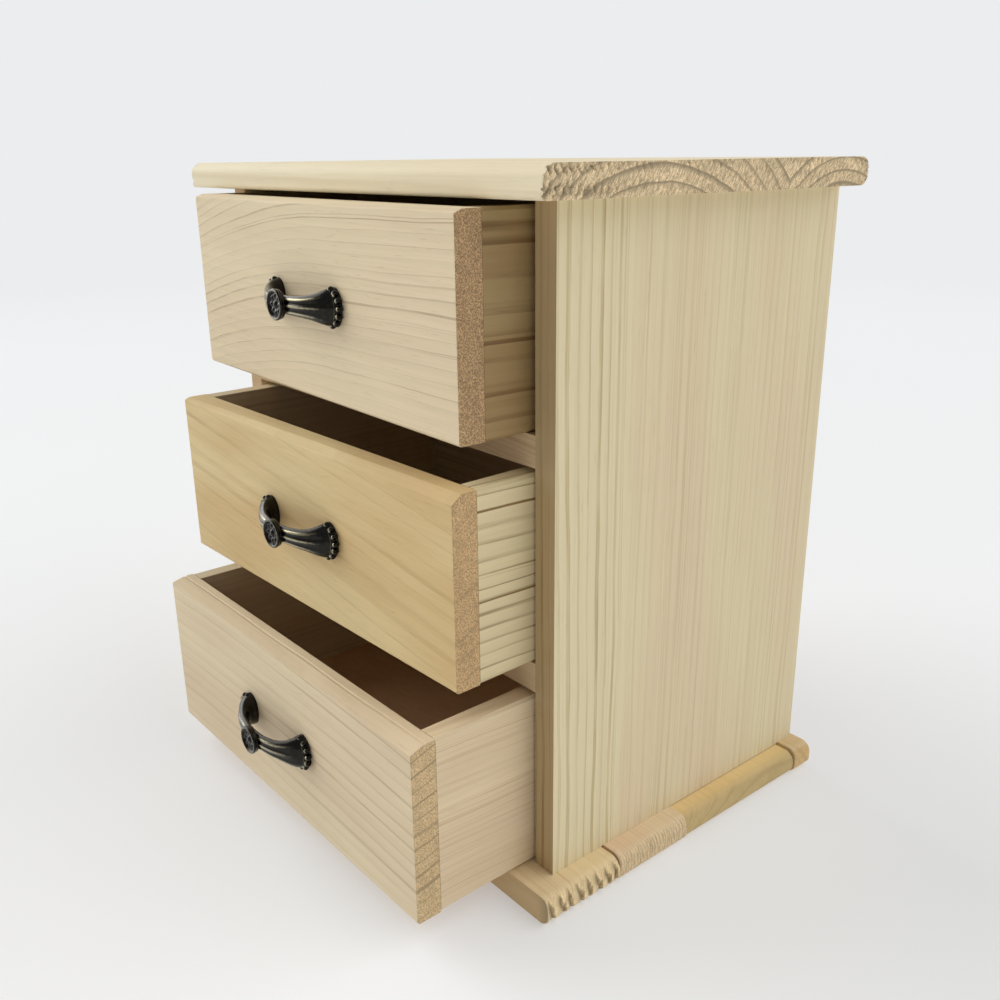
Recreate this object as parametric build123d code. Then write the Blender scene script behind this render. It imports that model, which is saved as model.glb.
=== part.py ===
"""Small pine chest with three pull-out drawers and cast metal handles, in millimetres.

X runs to the right, Y to the back and Z up. The origin is the middle of the base's underside.
"""
import os
from math import asin, cos, degrees, radians, sin

from build123d import *

# Carcass
carcass_width = 198.0
carcass_depth = 137.0
side_thickness = 9.0
shelf_thickness = 10.5
back_thickness = 3.0
bay_heights = (67.6, 67.1, 69.4)  # free height of each drawer bay, lowest first

# Base, glued up from strips that run from left to right
base_thickness = 10.5
base_front_lip = 10.5
base_end_lip = 9.3
base_rear_lip = 2.0
front_strip_width = 35.0
second_strip_width = 36.0
rear_strip_width = 10.5  # the third strip takes what the others leave
base_end_round = 4.0
base_front_round = 1.5

# Top board
top_thickness = 9.6
top_front_lip = 13.8
top_end_lip = 9.9
top_rear_lip = 1.5
top_front_round = 4.4
top_rear_round = 4.0
top_under_round = 1.2

# Joinery of the carcass
dowel_diameter = 5.0
dowel_in_face = 6.0  # how far a dowel reaches into the face of a board
dowel_in_edge = 12.0  # how far it reaches into the edge or end of the other board
dowel_setback = 20.0  # first and last dowel from the ends of a joint
dowels_per_side = 3
dowels_per_shelf_end = 2
brad_diameter = 1.2
brad_head_diameter = 2.6
brad_head_thickness = 0.8
brad_bite = 10.0  # how far a brad reaches past the board that it holds
back_brads_per_shelf = 3
brad_setback = 18.0
fit = 0.05  # clearance round dowels, brads and screws

# Drawers
front_thickness = 9.6
wall_thickness = 7.5
bottom_thickness = 3.0
groove_depth = 3.0
groove_rise = 4.0  # lower lip under the bottom's groove
groove_slack = 0.15
side_play = 1.9  # between the drawer and each wall of its bay
floor_gap = 0.3
head_gap = 2.0
rack_clearance = 0.15  # what is left beside a drawer that stands fully askew
stop_clearance = 0.6
wall_ease = 1.0
front_ease = 0.8
pulls = (50.5, 34.6, 24.0)  # how far each drawer stands out at rest, lowest first
racks = (0.23, 1.0, -1.0)  # share of its side play that each drawer is turned through
leans = (0.23, 0.0, 0.0)  # share of its side play that each drawer stands to the right
front_bevel_depths = (5.6, 3.8, 3.4)
front_bevel_drops = (1.8, 2.7, 1.4)
drawer_dowel_diameter = 4.0
drawer_dowel_setback = 14.0
drawer_dowels_per_side = 2
back_brad_setback = 12.0
back_brads_per_side = 2

# Handles
handle_pitch = 40.0
handle_reach = 12.6
medallion_diameter = 10.8
medallion_thickness = 2.6
medallion_rim = 1.1
medallion_sink = 0.5
boss_diameter = 4.2
foot_height = 13.2
foot_width = 9.6
waist_height = 6.5
arch_thickness = 3.4
bead_diameter = 2.8
bead_lift = 0.9  # from the drawer to a bead's middle
beads_per_foot = 7
bead_sweep = 150.0
screw_diameter = 3.0
screw_head_diameter = 5.6
screw_head_thickness = 2.0
screw_bite = 3.0
screw_hole_slack = 0.2
screw_head_round = 0.8

same_place = 0.01  # two points closer than this are one point

# Half of a handle's arch, from the foot to the middle: share of the way in, share of the rise,
# turn in degrees, and how much of the flare towards the foot is left in thickness and in height
arch_stations = (
    (0.00, 0.00, 0.0, 1.00, 1.00),
    (0.04, 0.28, 20.0, 0.77, 0.80),
    (0.18, 0.56, 52.0, 0.19, 0.42),
    (0.42, 0.80, 72.0, 0.03, 0.12),
    (0.72, 0.93, 84.0, 0.00, 0.00),
    (1.00, 0.96, 90.0, 0.00, 0.00),
)

strip_names = ("front", "second", "third", "rear")
shelf_names = ("lower", "upper")
drawer_names = ("lower", "middle", "upper")

# Worked out
base_depth = base_front_lip + carcass_depth + base_rear_lip
carcass_front = base_front_lip - base_depth / 2
carcass_back = carcass_front + carcass_depth
carcass_height = sum(bay_heights) + (len(bay_heights) - 1) * shelf_thickness
carcass_top = base_thickness + carcass_height
half_inside = carcass_width / 2 - side_thickness
bay_depth = carcass_depth - back_thickness
drawer_width = 2 * (half_inside - side_play)
full_rack = asin(2 * (side_play - rack_clearance) / bay_depth)
drawer_length = bay_depth - drawer_width / 2 * sin(full_rack) - stop_clearance
half_drawer = drawer_width / 2
inner_half = half_drawer - wall_thickness


def write(node, *solids):
    """Write one node, as one solid or as a group of separate solids."""
    shape = solids[0] if len(solids) == 1 else Compound(children=list(solids))
    export_step(shape, f"parts/{node}.step")


def board(x_span, y_span, z_span):
    """A square-edged board between two corners."""
    size = [high - low for low, high in (x_span, y_span, z_span)]
    middle = [(high + low) / 2 for low, high in (x_span, y_span, z_span)]
    return Pos(*middle) * Box(*size)


def rod(start, direction, length, diameter):
    """A round rod from a point along a direction."""
    return Solid.make_cylinder(diameter / 2, length, Plane(origin=start, z_dir=direction))


def along_x(outline, x_span):
    """A prism whose outline lies in Y and Z."""
    face = Plane.YZ * Polygon(*outline, align=None)
    return Pos(x_span[0], 0, 0) * extrude(face, amount=x_span[1] - x_span[0], dir=(1, 0, 0))


def along_y(outline, y_span):
    """A prism whose outline lies in X and Z."""
    face = Plane.XZ * Polygon(*outline, align=None)
    return Pos(0, y_span[0], 0) * extrude(face, amount=y_span[1] - y_span[0], dir=(0, 1, 0))


def spread(low, high, setback, count):
    """Evenly spaced places between two ends, the outer ones set back from them."""
    step = (high - low - 2 * setback) / (count - 1)
    return [low + setback + step * index for index in range(count)]


def edges_at(solid, axis, **wanted):
    """The straight edges along an axis that lie at the given X, Y or Z."""

    def lies_there(edge):
        middle = edge.center()
        return all(abs(getattr(middle, name) - value) < same_place for name, value in wanted.items())

    return [edge for edge in solid.edges().filter_by(axis) if lies_there(edge)]


def peg(start, direction, diameter, back, ahead):
    """A dowel through a joint at start, and the hole that it lies in."""
    move = Vector(*direction)
    tip = Vector(*start) - move * back
    hole = rod(tip - move * 2 * fit, direction, back + ahead + 4 * fit, diameter + 2 * fit)
    return rod(tip, direction, back + ahead, diameter), hole


def brad(head, direction, length):
    """A round brad with its head flush at a point, and its hole."""
    pieces = []
    for slack in (0, fit):
        shank = rod(head, direction, length + slack, brad_diameter + 2 * slack)
        cap = rod(head, direction, brad_head_thickness + slack, brad_head_diameter + 2 * slack)
        pieces.append(shank + cap)
    return pieces


def bay_floor(index):
    """Height of the surface that drawer number index slides on."""
    return base_thickness + sum(bay_heights[:index]) + index * shelf_thickness


def carcass_pegs():
    """Dowels and holes of the carcass: through base, top and shelf joints."""
    groups = {"base_dowels": [], "top_dowels": [], "shelf_dowels": []}
    reach = (dowel_in_face, dowel_in_edge)
    rows = spread(carcass_front, carcass_back, dowel_setback, dowels_per_side)
    shelf_rows = spread(carcass_front, carcass_back, dowel_setback, dowels_per_shelf_end)
    for side in (-1, 1):
        middle = side * (carcass_width / 2 - side_thickness / 2)
        for y in rows:
            low = (middle, y, base_thickness)
            high = (middle, y, carcass_top)
            groups["base_dowels"].append(peg(low, (0, 0, 1), dowel_diameter, *reach))
            groups["top_dowels"].append(peg(high, (0, 0, -1), dowel_diameter, *reach))
        for index in range(1, len(bay_heights)):
            height = bay_floor(index) - shelf_thickness / 2
            for y in shelf_rows:
                joint = (side * half_inside, y, height)
                groups["shelf_dowels"].append(peg(joint, (-side, 0, 0), dowel_diameter, *reach))
    return groups


def back_brads():
    """Brads through the back panel into the rear edges of the shelves."""
    nails = []
    for index in range(1, len(bay_heights)):
        height = bay_floor(index) - shelf_thickness / 2
        for x in spread(-half_inside, half_inside, brad_setback, back_brads_per_shelf):
            nails.append(brad((x, carcass_back, height), (0, -1, 0), back_thickness + brad_bite))
    return nails


def make_base(holes):
    """The base: strips edge to edge, rounded over at both ends."""
    half = carcass_width / 2 + base_end_lip
    front = -base_depth / 2
    third = base_depth - front_strip_width - second_strip_width - rear_strip_width
    widths = (front_strip_width, second_strip_width, third, rear_strip_width)
    strips = []
    for index, width in enumerate(widths):
        strip = board((-half, half), (front, front + width), (0, base_thickness))
        strip = fillet(strip.edges().filter_by(Axis.Y), base_end_round)
        if index == 0:
            strip = fillet(edges_at(strip, Axis.X, Y=front, Z=base_thickness), base_front_round)
        strips.append(strip - holes)
        front += width
    return strips


def make_top(holes):
    """The top board, rounded along its front and back edges."""
    half = carcass_width / 2 + top_end_lip
    front = carcass_front - top_front_lip
    back = carcass_back + top_rear_lip
    height = carcass_top + top_thickness
    top = board((-half, half), (front, back), (carcass_top, height))
    top = fillet(edges_at(top, Axis.X, Y=front, Z=height), top_front_round)
    top = fillet(edges_at(top, Axis.X, Y=front, Z=carcass_top), top_under_round)
    top = fillet(edges_at(top, Axis.X, Y=back), top_rear_round)
    return top - holes


def make_carcass():
    """Base, sides, shelves, back panel, top board and the joinery between them."""
    pegs = carcass_pegs()
    nails = back_brads()
    holes = [hole for group in pegs.values() for _, hole in group]
    nail_holes = [hole for _, hole in nails]
    side_z = (base_thickness, carcass_top)

    for node, strip in zip(strip_names, make_base(holes)):
        write(f"base_strip_{node}", strip)
    write("top_board", make_top(holes))
    for node, side in (("left", -1), ("right", 1)):
        x_span = sorted((side * half_inside, side * carcass_width / 2))
        write(f"{node}_side_panel", board(x_span, (carcass_front, carcass_back), side_z) - holes)
    for index, node in enumerate(shelf_names, start=1):
        shelf_z = (bay_floor(index) - shelf_thickness, bay_floor(index))
        shelf_y = (carcass_front, carcass_back - back_thickness)
        shelf = board((-half_inside, half_inside), shelf_y, shelf_z)
        write(f"{node}_shelf", shelf - holes - nail_holes)
    back_y = (carcass_back - back_thickness, carcass_back)
    write("back_panel", board((-half_inside, half_inside), back_y, side_z) - nail_holes)
    for node, group in pegs.items():
        write(node, *[pin for pin, _ in group])
    write("back_brads", *[nail for nail, _ in nails])


def arch_half():
    """Half of a handle's arch, from its foot on the drawer to the middle."""
    foot = handle_pitch / 2
    crest = handle_reach - medallion_thickness
    sections = []
    for inward, rise, turn, thick_flare, tall_flare in arch_stations:
        centre = (foot * (1 - inward), -crest * rise, 0)
        normal = (-sin(radians(turn)), -cos(radians(turn)), 0)
        across = (cos(radians(turn)), -sin(radians(turn)), 0)
        plane = Plane(origin=centre, x_dir=across, z_dir=normal)
        thick = arch_thickness + (foot_width - arch_thickness) * thick_flare
        tall = waist_height + (foot_height - waist_height) * tall_flare
        sections.append(plane * Ellipse(thick / 2, tall / 2))
    return loft(sections)


def make_handle():
    """A cast handle: two flared feet with beaded rims, an arch and a round medallion."""
    half = arch_half()
    handle = half + half.mirror(Plane.YZ)
    outward = (0, -1, 0)
    face = -handle_reach
    handle += rod((0, face + medallion_thickness, 0), outward, medallion_thickness, medallion_diameter)
    dish = medallion_diameter - 2 * medallion_rim
    handle -= rod((0, face + medallion_sink, 0), outward, medallion_sink * 2, dish)
    handle += rod((0, face + medallion_thickness, 0), outward, medallion_thickness, boss_diameter)
    for side in (-1, 1):
        foot = side * handle_pitch / 2
        for step in range(beads_per_foot):
            turn = radians(bead_sweep * (step / (beads_per_foot - 1) - 0.5))
            x = foot + side * foot_width / 2 * cos(turn)
            z = (foot_height - bead_diameter) / 2 * sin(turn)
            handle += Pos(x, -bead_lift, z) * Sphere(bead_diameter / 2)
        handle -= rod((foot, 0, 0), outward, screw_bite + 2 * fit, screw_diameter + 2 * fit)
    keep = board((-handle_pitch, handle_pitch), (-2 * handle_reach, 0), (-foot_height, foot_height))
    return handle & keep


def make_screws():
    """The two screws that hold a handle, driven from inside the drawer."""
    screws = []
    for side in (-1, 1):
        seat = (side * handle_pitch / 2, front_thickness, 0)
        shank = rod(seat, (0, -1, 0), front_thickness + screw_bite, screw_diameter)
        head = rod(seat, (0, 1, 0), screw_head_thickness, screw_head_diameter)
        rim = head.edges().sort_by(Axis.Y)[-1]
        screws.append(shank + fillet(rim, screw_head_round))
    return screws


def drawer_front(height, bevel_depth, bevel_drop):
    """A drawer front, bevelled along its top and eased along its foot."""
    outline = (
        (0, front_ease),
        (front_ease, 0),
        (front_thickness, 0),
        (front_thickness, height),
        (bevel_depth, height),
        (0, height - bevel_drop),
    )
    return along_x(outline, (-half_drawer, half_drawer))


def drawer_wall(side, height):
    """A drawer side, eased along its outer edges."""
    outer, inner = side * half_drawer, side * inner_half
    eased = side * (half_drawer - wall_ease)
    outline = (
        (inner, 0),
        (eased, 0),
        (outer, wall_ease),
        (outer, height - wall_ease),
        (eased, height),
        (inner, height),
    )
    return along_y(outline, (front_thickness, drawer_length))


def drawer_pegs(height):
    """Dowels between a drawer's front and its sides, with their holes."""
    pegs = []
    for side in (-1, 1):
        middle = side * (half_drawer - wall_thickness / 2)
        for z in spread(0, height, drawer_dowel_setback, drawer_dowels_per_side):
            joint = (middle, front_thickness, z)
            pegs.append(peg(joint, (0, 1, 0), drawer_dowel_diameter, dowel_in_face, dowel_in_edge))
    return pegs


def drawer_brads(height, panel_z):
    """Brads through the sides into the back, and up through the bottom."""
    nails = []
    middle = drawer_length - wall_thickness / 2
    for side in (-1, 1):
        for z in spread(panel_z, height, back_brad_setback, back_brads_per_side):
            head = (side * half_drawer, middle, z)
            nails.append(brad(head, (-side, 0, 0), wall_thickness + brad_bite))
    for x in spread(-inner_half, inner_half, brad_setback, back_brads_per_shelf):
        nails.append(brad((x, middle, groove_rise + groove_slack), (0, 0, 1), bottom_thickness + brad_bite))
    return nails


def bolt_holes():
    """Holes in a drawer front for the screws of its handle."""
    width = screw_diameter + 2 * screw_hole_slack
    return [rod((side * handle_pitch / 2, 0, 0), (0, 1, 0), front_thickness, width) for side in (-1, 1)]


def drawer_pieces(index):
    """The pieces of one drawer, its front's lower edge on the X axis."""
    height = bay_heights[index] - floor_gap - head_gap
    panel_z = groove_rise + groove_slack
    panel_top = panel_z + bottom_thickness
    reach = groove_depth - groove_slack
    handle_at = Pos(0, 0, height / 2)
    pegs = drawer_pegs(height)
    nails = drawer_brads(height, panel_top)
    peg_holes = [hole for _, hole in pegs]
    nail_holes = [hole for _, hole in nails]

    groove_x = (-inner_half - groove_depth, inner_half + groove_depth)
    groove_y = (front_thickness - groove_depth, drawer_length)
    groove = board(groove_x, groove_y, (groove_rise, panel_top + groove_slack))
    front = drawer_front(height, front_bevel_depths[index], front_bevel_drops[index])
    back_y = (drawer_length - wall_thickness, drawer_length)
    back = board((-inner_half, inner_half), back_y, (panel_top, height))
    bottom_x = (-inner_half - reach, inner_half + reach)
    bottom_y = (front_thickness - reach, drawer_length)
    bottom = board(bottom_x, bottom_y, (panel_z, panel_top))
    return {
        "front": [front - groove - peg_holes - [handle_at * hole for hole in bolt_holes()]],
        "left_side": [drawer_wall(-1, height) - groove - peg_holes - nail_holes],
        "right_side": [drawer_wall(1, height) - groove - peg_holes - nail_holes],
        "back": [back - nail_holes],
        "bottom": [bottom - nail_holes],
        "handle": [handle_at * make_handle()],
        "handle_screws": [handle_at * screw for screw in make_screws()],
        "dowels": [pin for pin, _ in pegs],
        "brads": [nail for nail, _ in nails],
    }


def drawer_place(index):
    """Where a drawer stands at rest: pulled out, and turned and shifted within its play."""
    middle = carcass_front - pulls[index] + drawer_length / 2
    turn = degrees(racks[index] * full_rack)
    lean = leans[index] * (side_play - rack_clearance)
    floor = bay_floor(index) + floor_gap
    return Pos(lean, middle, floor) * Rot(0, 0, turn) * Pos(0, -drawer_length / 2, 0)


def make_drawer(index):
    """Write the pieces of one drawer with its handle."""
    place = drawer_place(index)
    for node, solids in drawer_pieces(index).items():
        write(f"{drawer_names[index]}_drawer_{node}", *[place * solid for solid in solids])


def main():
    """Write every node of the chest."""
    os.makedirs("parts", exist_ok=True)
    make_carcass()
    for index in range(len(bay_heights)):
        make_drawer(index)


if __name__ == "__main__":
    main()
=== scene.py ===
"""A small pine chest with three pull-out drawers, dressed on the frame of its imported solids.

X runs to the right, Y to the back and Z up. Sizes in the classes are in millimetres.
"""

import logging
import math
from dataclasses import dataclass
from enum import Enum
from typing import Callable, Sequence

import bmesh
import bpy
from mathutils import Matrix, Vector, noise


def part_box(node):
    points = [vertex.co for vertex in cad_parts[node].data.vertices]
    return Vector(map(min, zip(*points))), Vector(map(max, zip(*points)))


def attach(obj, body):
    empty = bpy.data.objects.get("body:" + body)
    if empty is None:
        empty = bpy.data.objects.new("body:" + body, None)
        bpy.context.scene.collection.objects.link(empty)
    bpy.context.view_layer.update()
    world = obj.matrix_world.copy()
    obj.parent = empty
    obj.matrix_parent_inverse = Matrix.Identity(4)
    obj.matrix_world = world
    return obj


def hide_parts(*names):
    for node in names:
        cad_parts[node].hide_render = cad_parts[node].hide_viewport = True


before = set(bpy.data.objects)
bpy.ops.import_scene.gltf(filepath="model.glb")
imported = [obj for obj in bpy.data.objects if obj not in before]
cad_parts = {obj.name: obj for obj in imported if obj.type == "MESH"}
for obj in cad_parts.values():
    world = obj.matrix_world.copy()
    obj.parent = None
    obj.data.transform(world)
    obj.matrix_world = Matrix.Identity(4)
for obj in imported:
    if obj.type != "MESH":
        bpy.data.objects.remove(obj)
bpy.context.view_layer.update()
MM = 0.001

Colour = tuple[float, float, float]
Pair = tuple[float, float]

logging.basicConfig(level=logging.INFO, format="%(message)s")
log = logging.getLogger("chest")


def rgb(red: int, green: int, blue: int) -> Colour:
    """Turn a colour of the screen, 0 to 255, into a linear one.

    Args:
        red: Red of the screen colour.
        green: Green of the screen colour.
        blue: Blue of the screen colour.

    Returns:
        The linear colour, 0 to 1.
    """
    def linear(part: int) -> float:
        """Undo the screen's curve for one part."""
        share = part / 255
        return share / 12.92 if share <= 0.04045 else ((share + 0.055) / 1.055) ** 2.4

    return linear(red), linear(green), linear(blue)


def scaled(colour: Colour, factor: float) -> Colour:
    """Make a plain colour darker or brighter."""
    return tuple(part * factor for part in colour)


def near(distance: float, reach: float) -> float:
    """Fall evenly from 1 at no distance to 0 at the reach and beyond."""
    return max(0.0, 1 - distance / reach)


class Grain(Enum):
    """The way that a board's fibres run in the chest."""

    ACROSS = "x"
    BACK = "y"
    UP = "z"

    def turn(self, askew: float = 0.0) -> tuple[float, float, float]:
        """Give the turn that lays the fibres along X.

        Args:
            askew: How far the piece is turned about Z, in degrees.

        Returns:
            Euler angles in radians.
        """
        if self is Grain.UP:
            return 0.0, math.radians(90), 0.0
        quarter = -90.0 if self is Grain.BACK else 0.0
        return 0.0, 0.0, math.radians(quarter - askew)

    def along(self, askew: float = 0.0) -> Vector:
        """Give the direction of the fibres in the chest.

        Args:
            askew: How far the piece is turned about Z, in degrees.

        Returns:
            A unit vector.
        """
        if self is Grain.UP:
            return Vector((0, 0, 1))
        start = Vector((1, 0, 0)) if self is Grain.ACROSS else Vector((0, 1, 0))
        return Matrix.Rotation(math.radians(askew), 3, "Z") @ start


@dataclass(frozen=True)
class Figure:
    """A noise drawn out along the grain, and the levels between which its marks rise."""

    along: float
    across: float
    detail: float = 1.0
    rough: float = 0.5
    bend: float = 0.0
    levels: Pair = (0.0, 1.0)


DRIFT = Figure(0.006, 0.03, 2.0, levels=(0.35, 0.65))
RIPPLE = Figure(0.035, 0.12, 2.0, 0.55)
BANDS = Figure(0.004, 0.06, levels=(0.3, 0.62))
BREAKS = Figure(0.018, 0.4, 2.0, 0.6, levels=(0.36, 0.58))
FIBRE = Figure(0.05, 2.2, 3.0, 0.6)
STREAK = Figure(0.01, 0.6, 3.0, 0.6)
FLECK = Figure(0.12, 3.2, levels=(0.71, 0.76))
PORES = Figure(0.2, 2.5, 2.0, 0.7, levels=(0.36, 0.66))
BLOTCH = Figure(0.05, 0.16, 2.0, 0.6)
PLY_FIGURE = Figure(0.01, 0.08, 3.0, 0.6, 0.6)
PLY_PORES = Figure(0.09, 2.6, 2.0, 0.6, levels=(0.42, 0.72))
BRUSHING = Figure(4000.0, 400.0, 2.0)


class Value:
    """A shader socket that takes Python's operators."""

    def __init__(self, shader: "Shader", socket: bpy.types.NodeSocket) -> None:
        """Keep the output that holds the value, and the shader that new nodes are added to."""
        self.shader = shader
        self.socket = socket

    def __add__(self, other: "Value | float") -> "Value":
        """Add."""
        return self.shader.math("ADD", self, other)

    def __sub__(self, other: "Value | float") -> "Value":
        """Subtract."""
        return self.shader.math("SUBTRACT", self, other)

    def __rsub__(self, other: float) -> "Value":
        """Subtract from a number."""
        return self.shader.math("SUBTRACT", other, self)

    def __mul__(self, other: "Value | float") -> "Value":
        """Multiply."""
        return self.shader.math("MULTIPLY", self, other)

    def __truediv__(self, other: "Value | float") -> "Value":
        """Divide."""
        return self.shader.math("DIVIDE", self, other)

    def __abs__(self) -> "Value":
        """Drop the sign."""
        return self.shader.math("ABSOLUTE", self)

    def down_to(self, least: float) -> "Value":
        """Turn 0 to 1 into the least number to 1."""
        return least + (1 - least) * self

    __radd__ = __add__
    __rmul__ = __mul__


class Shader:
    """A material or a world, and the nodes that it is made of."""

    def __init__(self, owner: bpy.types.Material | bpy.types.World) -> None:
        """Start without nodes.

        Args:
            owner: The new material or world.
        """
        self.owner = owner
        owner.use_nodes = True
        self.tree = owner.node_tree
        self.tree.nodes.clear()

    @classmethod
    def named(cls, name: str) -> "Shader":
        """Start an empty material with a name."""
        return cls(bpy.data.materials.new(name))

    def node(
        self, kind: str, settings: dict[str, object], sockets: dict[str | int, object], out: str | int = 0
    ) -> Value:
        """Add a node.

        Args:
            kind: The node's type, without the word ShaderNode.
            settings: Properties to set first.
            sockets: Values or links of its inputs.
            out: The output to return.

        Returns:
            The output, ready for more maths.
        """
        made = self.tree.nodes.new("ShaderNode" + kind)
        for key, value in settings.items():
            setattr(made, key, value)
        for key, value in sockets.items():
            if isinstance(value, Value):
                self.tree.links.new(value.socket, made.inputs[key])
            else:
                made.inputs[key].default_value = value
        return Value(self, made.outputs[out] if made.outputs else None)

    def math(self, operation: str, *values: Value | float) -> Value:
        """Add a Math node, with its inputs in order."""
        return self.node("Math", {"operation": operation}, dict(enumerate(values)))

    def place(self, kind: str = "Object") -> Value:
        """Read a texture coordinate."""
        return self.node("TexCoord", {}, {}, kind)

    def part(self, vector: Value, axis: int) -> Value:
        """Read one part of a vector."""
        return self.node("SeparateXYZ", {}, {0: vector}, axis)

    def dot(self, way: Value, other: Sequence[float]) -> Value:
        """Say how far one direction points along another, -1 to 1."""
        return self.node("VectorMath", {"operation": "DOT_PRODUCT"}, {0: way, 1: other}, "Value")

    def stretch(self, place: Value, scale: tuple[float, float, float]) -> Value:
        """Scale a place along each axis."""
        return self.node("VectorMath", {"operation": "MULTIPLY"}, {0: place, 1: scale})

    def rise(self, value: Value, low: float, high: float) -> Value:
        """Rise smoothly from 0 at the low level of a value to 1 at the high one."""
        settings = {"interpolation_type": "SMOOTHSTEP"}
        return self.node("MapRange", settings, {"Value": value, "From Min": low, "From Max": high})

    def blend(self, share: Value | float, low: Value | float, high: Value | float) -> Value:
        """Mix two numbers, by the share of the second."""
        return self.node("Mix", {"data_type": "FLOAT"}, {0: share, 2: low, 3: high})

    def tint(
        self, share: Value | float, under: Value | Colour, over: Value | Colour, how: str = "MIX"
    ) -> Value:
        """Mix two colours, by the share of the second and a blend type."""
        inputs = {0: share, 6: self.opaque(under), 7: self.opaque(over)}
        return self.node("Mix", {"data_type": "RGBA", "blend_type": how}, inputs, 2)

    def lit(self, colour: Value, light: Value) -> Value:
        """Multiply a colour by a number."""
        grey = self.node("CombineXYZ", {}, {0: light, 1: light, 2: light})
        return self.tint(1.0, colour, grey, "MULTIPLY")

    def opaque(self, colour: Value | Colour) -> Value | tuple[float, ...]:
        """Give a plain colour its fourth part."""
        return colour if isinstance(colour, Value) else (*colour, 1.0)

    def cloud(
        self, place: Value, scale: float, detail: float = 2.0, rough: float = 0.5, bend: float = 0.0
    ) -> Value:
        """Add a noise, about 0 to 1."""
        inputs = {"Vector": place, "Scale": scale, "Detail": detail, "Roughness": rough, "Distortion": bend}
        return self.node("TexNoise", {}, inputs)

    def figure(self, place: Value, kind: Figure, scale: float = 1.0) -> Value:
        """Add a noise that is drawn out along the grain, about 0 to 1."""
        drawn = self.stretch(place, (kind.along, kind.across, kind.across))
        return self.cloud(drawn, scale, kind.detail, kind.rough, kind.bend)

    def marks(self, place: Value, kind: Figure, scale: float = 1.0) -> Value:
        """Add the marks of a noise that is drawn out along the grain, 0 to 1."""
        return self.rise(self.figure(place, kind, scale), *kind.levels)

    def along_grain(self, grain: Grain, middle: Vector, askew: float) -> Value:
        """Give a place in millimetres from a board's middle, its fibres along X.

        Args:
            grain: The way that the fibres run.
            middle: The board's middle in the chest, in metres.
            askew: How far the board is turned about Z, in degrees.

        Returns:
            The place.
        """
        turn = grain.turn(askew)
        spun = Matrix.Rotation(turn[2], 3, "Z") @ Matrix.Rotation(turn[1], 3, "Y") @ (middle / MM)
        inputs = {"Vector": self.place(), "Location": -spun, "Rotation": turn, "Scale": (1 / MM,) * 3}
        return self.node("Mapping", {"vector_type": "POINT"}, inputs)

    def relief(self, height: Value, depth: float) -> Value:
        """Turn a height, 0 to 1, into a normal, with its depth in millimetres."""
        return self.node("Bump", {}, {"Strength": 1.0, "Distance": depth * MM, "Height": height})

    def finish(self, colour: Value | Colour, rough: Value | float, **rest: object) -> bpy.types.Material:
        """End the material with its surface.

        Args:
            colour: Base colour.
            rough: Roughness.
            rest: Other inputs, with underscores for spaces.

        Returns:
            The material.
        """
        inputs = {"Base Color": self.opaque(colour), "Roughness": rough}
        inputs.update({key.replace("_", " "): value for key, value in rest.items()})
        surface = self.node("BsdfPrincipled", {}, inputs)
        self.node("OutputMaterial", {}, {"Surface": surface})
        return self.owner


@dataclass(frozen=True)
class Stave:
    """One piece of a log: where its rings lie and how strongly they show.

    Distances are in millimetres from the middle of the board, first from edge to edge or through
    the board, as the grain is turned.
    """

    pith: Pair = (0.0, 60.0)
    ring: float = 3.2
    lean: Pair = (0.0, 0.0)
    line: float = 0.5
    blush: float = 0.5
    bow: Pair = (0.0, 0.0)


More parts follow.
